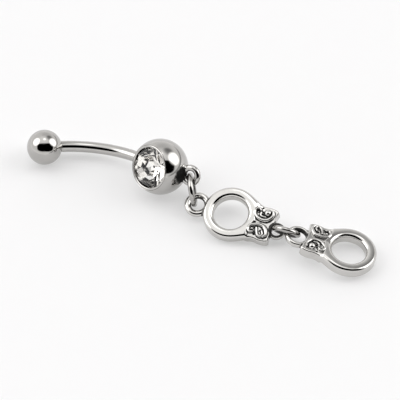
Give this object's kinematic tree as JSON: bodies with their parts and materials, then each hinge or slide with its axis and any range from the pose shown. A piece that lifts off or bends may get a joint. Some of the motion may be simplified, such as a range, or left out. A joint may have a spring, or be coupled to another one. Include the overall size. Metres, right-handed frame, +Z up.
{
  "type": "navel ring",
  "caption": "Navel ring lying at rest: a curved bar with a plain screw ball, a gem ball with a round stone, and a drop of miniature cuffs on jump rings.",
  "frame": {"origin": "on the resting surface, under the middle of the outline's bounding box", "axes": "+X along the picture's width, from the top ball to the lower cuff; +Y away from the viewer; +Z up from the surface"},
  "size_m": [0.0496, 0.0252, 0.008],
  "materials": {
    "ball_steel": "mirror-polished surgical steel",
    "bar_steel": "polished surgical steel wire",
    "ring_steel": "polished round wire",
    "cast_metal": "plated casting, tumbled bright",
    "crystal": "clear cut glass stone"
  },
  "bodies": {
    "jewel": {"curved_bar": "bar_steel", "gem_ball": "ball_steel", "crystal": "crystal", "upper_jump_ring": "ring_steel", "upper_cuff": "cast_metal", "lower_jump_ring": "ring_steel", "lower_cuff": "cast_metal"},
    "screw_ball": {"top_ball": "ball_steel"}
  },
  "joints": [
    {"name": "top_ball_turn", "type": "hinge", "parent": "jewel", "child": "screw_ball", "pos_m": [-0.02233, 0.01012, 0.0025], "axis": [-0.9636, -0.2025, 0.1743], "range_deg": [0, 360]}
  ]
}
